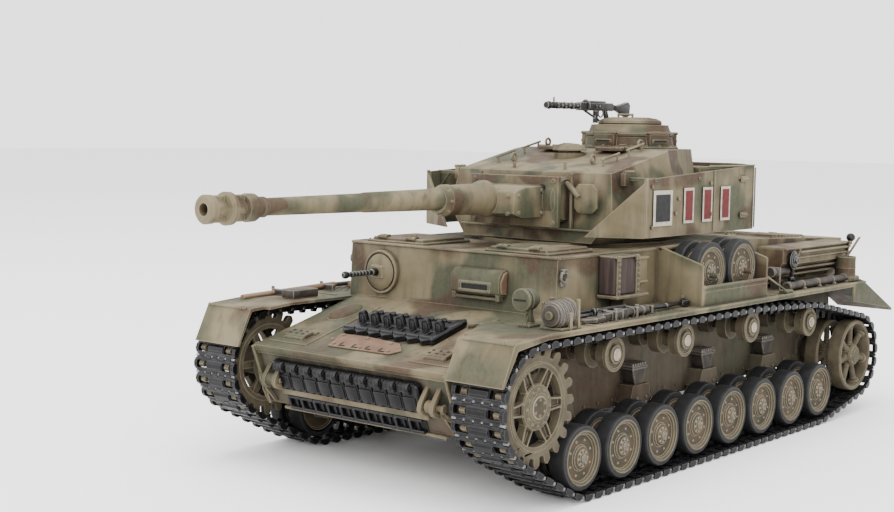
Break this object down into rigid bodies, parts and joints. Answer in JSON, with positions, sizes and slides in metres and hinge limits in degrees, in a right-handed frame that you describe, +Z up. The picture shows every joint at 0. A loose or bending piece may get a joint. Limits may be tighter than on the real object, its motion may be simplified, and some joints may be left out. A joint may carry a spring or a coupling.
{
  "type": "radio-controlled model tank",
  "caption": "Radio-controlled scale model of a medium battle tank with turning turret, elevating long gun, armour skirts and sprung-bogie tracked running gear.",
  "frame": {"origin": "on the ground, under the middle of the overall outline", "axes": "+X forward along the gun, +Y towards the tank's left side, +Z up"},
  "size_m": [0.2006, 0.082, 0.0786],
  "materials": {
    "hull_paint": "matt camouflage paint on moulded plastic",
    "turret_paint": "matt camouflage paint on moulded plastic",
    "track_black": "dark grey flexible track",
    "wheel_paint": "dusty dark yellow with black tyres",
    "gun_metal": "dark grey machine gun",
    "tools": "dark yellow, wood brown and steel grey fittings",
    "screw_steel": "plated steel",
    "motor_steel": "motor cans",
    "gear_plastic": "white moulded gears",
    "board": "green circuit board",
    "cells": "plain sleeved cells",
    "black_plastic": "moulded black"
  },
  "bodies": {
    "hull": {"lower_hull": "hull_paint", "upper_hull": "hull_paint", "fenders": "hull_paint", "tracks": "track_black", "suspension_units": "hull_paint", "front_plate_fittings": "hull_paint", "tow_shackles": "hull_paint", "spare_tracks": "track_black", "fender_equipment": "tools", "spare_wheel_box": "hull_paint", "spare_wheels": "wheel_paint", "exhaust_muffler": "hull_paint", "drive_gearboxes": "motor_steel", "receiver_board": "board", "battery_pack": "cells", "traverse_motor": "motor_steel", "hull_screws": "screw_steel"},
    "turret": {"turret_shell": "turret_paint", "turret_skirt": "turret_paint", "turret_bin": "turret_paint", "turret_fittings": "turret_paint", "cupola": "turret_paint", "cupola_hatch": "turret_paint", "elevation_motor": "motor_steel"},
    "gun": {"gun_mantlet": "turret_paint", "gun_barrel": "turret_paint"},
    "aa_gun": {"aa_gun": "gun_metal"},
    "battery_door": {"battery_door": "black_plastic"},
    "power_switch": {"power_switch": "black_plastic"},
    "traverse_pinion": {"traverse_pinion": "gear_plastic"},
    "left_sprocket": {"left_sprocket": "wheel_paint"},
    "left_idler": {"left_idler": "wheel_paint"},
    "left_road_wheel_1": {"left_road_wheel_1": "wheel_paint"},
    "left_road_wheel_2": {"left_road_wheel_2": "wheel_paint"},
    "left_road_wheel_3": {"left_road_wheel_3": "wheel_paint"},
    "left_road_wheel_4": {"left_road_wheel_4": "wheel_paint"},
    "left_road_wheel_5": {"left_road_wheel_5": "wheel_paint"},
    "left_road_wheel_6": {"left_road_wheel_6": "wheel_paint"},
    "left_road_wheel_7": {"left_road_wheel_7": "wheel_paint"},
    "left_road_wheel_8": {"left_road_wheel_8": "wheel_paint"},
    "left_return_roller_1": {"left_return_roller_1": "wheel_paint"},
    "left_return_roller_2": {"left_return_roller_2": "wheel_paint"},
    "left_return_roller_3": {"left_return_roller_3": "wheel_paint"},
    "left_return_roller_4": {"left_return_roller_4": "wheel_paint"},
    "left_motor_pinion": {"left_motor_pinion": "gear_plastic"},
    "right_sprocket": {"right_sprocket": "wheel_paint"},
    "right_idler": {"right_idler": "wheel_paint"},
    "right_road_wheel_1": {"right_road_wheel_1": "wheel_paint"},
    "right_road_wheel_2": {"right_road_wheel_2": "wheel_paint"},
    "right_road_wheel_3": {"right_road_wheel_3": "wheel_paint"},
    "right_road_wheel_4": {"right_road_wheel_4": "wheel_paint"},
    "right_road_wheel_5": {"right_road_wheel_5": "wheel_paint"},
    "right_road_wheel_6": {"right_road_wheel_6": "wheel_paint"},
    "right_road_wheel_7": {"right_road_wheel_7": "wheel_paint"},
    "right_road_wheel_8": {"right_road_wheel_8": "wheel_paint"},
    "right_return_roller_1": {"right_return_roller_1": "wheel_paint"},
    "right_return_roller_2": {"right_return_roller_2": "wheel_paint"},
    "right_return_roller_3": {"right_return_roller_3": "wheel_paint"},
    "right_return_roller_4": {"right_return_roller_4": "wheel_paint"},
    "right_motor_pinion": {"right_motor_pinion": "gear_plastic"}
  },
  "joints": [
    {"name": "turret_traverse", "type": "hinge", "parent": "hull", "child": "turret", "pos_m": [-0.012, 0.001, 0.046], "axis": [0, 0, 1], "range_deg": [-150, 150]},
    {"name": "gun_elevation", "type": "hinge", "parent": "turret", "child": "gun", "pos_m": [0.0075, 0.001, 0.0557], "axis": [0, -1, 0], "range_deg": [-8, 20]},
    {"name": "aa_gun_swivel", "type": "hinge", "parent": "turret", "child": "aa_gun", "pos_m": [-0.024, -0.0026, 0.0759], "axis": [0, 0, 1], "range_deg": [-60, 60]},
    {"name": "battery_door_slide", "type": "slide", "parent": "hull", "child": "battery_door", "axis": [-1, 0, 0], "range_m": [0, 0.016]},
    {"name": "power_switch_slide", "type": "slide", "parent": "hull", "child": "power_switch", "axis": [1, 0, 0], "range_m": [0, 0.003]},
    {"name": "traverse_pinion_spin", "type": "hinge", "parent": "hull", "child": "traverse_pinion", "pos_m": [0.0108, 0.001, 0.0405], "axis": [0, 0, 1], "range_deg": [-810, 810]},
    {"name": "left_sprocket_spin", "type": "hinge", "parent": "hull", "child": "left_sprocket", "pos_m": [0.05509, 0.0352, 0.0201], "axis": [0, 1, 0], "continuous": true},
    {"name": "left_idler_spin", "type": "hinge", "parent": "hull", "child": "left_idler", "pos_m": [-0.08039, 0.0352, 0.0145], "axis": [0, 1, 0], "continuous": true},
    {"name": "left_road_wheel_1_spin", "type": "hinge", "parent": "hull", "child": "left_road_wheel_1", "pos_m": [0.04, 0.0352, 0.00815], "axis": [0, 1, 0], "continuous": true},
    {"name": "left_road_wheel_2_spin", "type": "hinge", "parent": "hull", "child": "left_road_wheel_2", "pos_m": [0.02562, 0.0352, 0.00815], "axis": [0, 1, 0], "continuous": true},
    {"name": "left_road_wheel_3_spin", "type": "hinge", "parent": "hull", "child": "left_road_wheel_3", "pos_m": [0.01125, 0.0352, 0.00815], "axis": [0, 1, 0], "continuous": true},
    {"name": "left_road_wheel_4_spin", "type": "hinge", "parent": "hull", "child": "left_road_wheel_4", "pos_m": [-0.00312, 0.0352, 0.00815], "axis": [0, 1, 0], "continuous": true},
    {"name": "left_road_wheel_5_spin", "type": "hinge", "parent": "hull", "child": "left_road_wheel_5", "pos_m": [-0.01749, 0.0352, 0.00815], "axis": [0, 1, 0], "continuous": true},
    {"name": "left_road_wheel_6_spin", "type": "hinge", "parent": "hull", "child": "left_road_wheel_6", "pos_m": [-0.03186, 0.0352, 0.00815], "axis": [0, 1, 0], "continuous": true},
    {"name": "left_road_wheel_7_spin", "type": "hinge", "parent": "hull", "child": "left_road_wheel_7", "pos_m": [-0.04623, 0.0352, 0.00815], "axis": [0, 1, 0], "continuous": true},
    {"name": "left_road_wheel_8_spin", "type": "hinge", "parent": "hull", "child": "left_road_wheel_8", "pos_m": [-0.0606, 0.0352, 0.00815], "axis": [0, 1, 0], "continuous": true},
    {"name": "left_return_roller_1_spin", "type": "hinge", "parent": "hull", "child": "left_return_roller_1", "pos_m": [0.0283, 0.0352, 0.0267], "axis": [0, 1, 0], "continuous": true},
    {"name": "left_return_roller_2_spin", "type": "hinge", "parent": "hull", "child": "left_return_roller_2", "pos_m": [0.0016, 0.0352, 0.0267], "axis": [0, 1, 0], "continuous": true},
    {"name": "left_return_roller_3_spin", "type": "hinge", "parent": "hull", "child": "left_return_roller_3", "pos_m": [-0.0273, 0.0352, 0.0267], "axis": [0, 1, 0], "continuous": true},
    {"name": "left_return_roller_4_spin", "type": "hinge", "parent": "hull", "child": "left_return_roller_4", "pos_m": [-0.05611, 0.0352, 0.0252], "axis": [0, 1, 0], "continuous": true},
    {"name": "left_motor_pinion_spin", "type": "hinge", "parent": "hull", "child": "left_motor_pinion", "pos_m": [0.0494, 0.0218, 0.0201], "axis": [0, 1, 0], "continuous": true},
    {"name": "right_sprocket_spin", "type": "hinge", "parent": "hull", "child": "right_sprocket", "pos_m": [0.05509, -0.0352, 0.0201], "axis": [0, 1, 0], "continuous": true},
    {"name": "right_idler_spin", "type": "hinge", "parent": "hull", "child": "right_idler", "pos_m": [-0.08039, -0.0352, 0.0145], "axis": [0, 1, 0], "continuous": true},
    {"name": "right_road_wheel_1_spin", "type": "hinge", "parent": "hull", "child": "right_road_wheel_1", "pos_m": [0.04, -0.0352, 0.00815], "axis": [0, 1, 0], "continuous": true},
    {"name": "right_road_wheel_2_spin", "type": "hinge", "parent": "hull", "child": "right_road_wheel_2", "pos_m": [0.02562, -0.0352, 0.00815], "axis": [0, 1, 0], "continuous": true},
    {"name": "right_road_wheel_3_spin", "type": "hinge", "parent": "hull", "child": "right_road_wheel_3", "pos_m": [0.01125, -0.0352, 0.00815], "axis": [0, 1, 0], "continuous": true},
    {"name": "right_road_wheel_4_spin", "type": "hinge", "parent": "hull", "child": "right_road_wheel_4", "pos_m": [-0.00312, -0.0352, 0.00815], "axis": [0, 1, 0], "continuous": true},
    {"name": "right_road_wheel_5_spin", "type": "hinge", "parent": "hull", "child": "right_road_wheel_5", "pos_m": [-0.01749, -0.0352, 0.00815], "axis": [0, 1, 0], "continuous": true},
    {"name": "right_road_wheel_6_spin", "type": "hinge", "parent": "hull", "child": "right_road_wheel_6", "pos_m": [-0.03186, -0.0352, 0.00815], "axis": [0, 1, 0], "continuous": true},
    {"name": "right_road_wheel_7_spin", "type": "hinge", "parent": "hull", "child": "right_road_wheel_7", "pos_m": [-0.04623, -0.0352, 0.00815], "axis": [0, 1, 0], "continuous": true},
    {"name": "right_road_wheel_8_spin", "type": "hinge", "parent": "hull", "child": "right_road_wheel_8", "pos_m": [-0.0606, -0.0352, 0.00815], "axis": [0, 1, 0], "continuous": true},
    {"name": "right_return_roller_1_spin", "type": "hinge", "parent": "hull", "child": "right_return_roller_1", "pos_m": [0.0283, -0.0352, 0.0267], "axis": [0, 1, 0], "continuous": true},
    {"name": "right_return_roller_2_spin", "type": "hinge", "parent": "hull", "child": "right_return_roller_2", "pos_m": [0.0016, -0.0352, 0.0267], "axis": [0, 1, 0], "continuous": true},
    {"name": "right_return_roller_3_spin", "type": "hinge", "parent": "hull", "child": "right_return_roller_3", "pos_m": [-0.0273, -0.0352, 0.0267], "axis": [0, 1, 0], "continuous": true},
    {"name": "right_return_roller_4_spin", "type": "hinge", "parent": "hull", "child": "right_return_roller_4", "pos_m": [-0.05611, -0.0352, 0.0252], "axis": [0, 1, 0], "continuous": true},
    {"name": "right_motor_pinion_spin", "type": "hinge", "parent": "hull", "child": "right_motor_pinion", "pos_m": [0.0494, -0.0218, 0.0201], "axis": [0, 1, 0], "continuous": true}
  ],
  "couplings": [
    {"joint": "traverse_pinion_spin", "follows": "turret_traverse", "ratio": -5.3333},
    {"joint": "left_idler_spin", "follows": "left_sprocket_spin", "ratio": 1.15},
    {"joint": "left_road_wheel_1_spin", "follows": "left_sprocket_spin", "ratio": 1.6172},
    {"joint": "left_road_wheel_2_spin", "follows": "left_sprocket_spin", "ratio": 1.6172},
    {"joint": "left_road_wheel_3_spin", "follows": "left_sprocket_spin", "ratio": 1.6172},
    {"joint": "left_road_wheel_4_spin", "follows": "left_sprocket_spin", "ratio": 1.6172},
    {"joint": "left_road_wheel_5_spin", "follows": "left_sprocket_spin", "ratio": 1.6172},
    {"joint": "left_road_wheel_6_spin", "follows": "left_sprocket_spin", "ratio": 1.6172},
    {"joint": "left_road_wheel_7_spin", "follows": "left_sprocket_spin", "ratio": 1.6172},
    {"joint": "left_road_wheel_8_spin", "follows": "left_sprocket_spin", "ratio": 1.6172},
    {"joint": "left_return_roller_1_spin", "follows": "left_sprocket_spin", "ratio": 3.2344},
    {"joint": "left_return_roller_2_spin", "follows": "left_sprocket_spin", "ratio": 3.2344},
    {"joint": "left_return_roller_3_spin", "follows": "left_sprocket_spin", "ratio": 3.2344},
    {"joint": "left_return_roller_4_spin", "follows": "left_sprocket_spin", "ratio": 3.2344},
    {"joint": "left_motor_pinion_spin", "follows": "left_sprocket_spin", "ratio": -2},
    {"joint": "right_idler_spin", "follows": "right_sprocket_spin", "ratio": 1.15},
    {"joint": "right_road_wheel_1_spin", "follows": "right_sprocket_spin", "ratio": 1.6172},
    {"joint": "right_road_wheel_2_spin", "follows": "right_sprocket_spin", "ratio": 1.6172},
    {"joint": "right_road_wheel_3_spin", "follows": "right_sprocket_spin", "ratio": 1.6172},
    {"joint": "right_road_wheel_4_spin", "follows": "right_sprocket_spin", "ratio": 1.6172},
    {"joint": "right_road_wheel_5_spin", "follows": "right_sprocket_spin", "ratio": 1.6172},
    {"joint": "right_road_wheel_6_spin", "follows": "right_sprocket_spin", "ratio": 1.6172},
    {"joint": "right_road_wheel_7_spin", "follows": "right_sprocket_spin", "ratio": 1.6172},
    {"joint": "right_road_wheel_8_spin", "follows": "right_sprocket_spin", "ratio": 1.6172},
    {"joint": "right_return_roller_1_spin", "follows": "right_sprocket_spin", "ratio": 3.2344},
    {"joint": "right_return_roller_2_spin", "follows": "right_sprocket_spin", "ratio": 3.2344},
    {"joint": "right_return_roller_3_spin", "follows": "right_sprocket_spin", "ratio": 3.2344},
    {"joint": "right_return_roller_4_spin", "follows": "right_sprocket_spin", "ratio": 3.2344},
    {"joint": "right_motor_pinion_spin", "follows": "right_sprocket_spin", "ratio": -2}
  ]
}
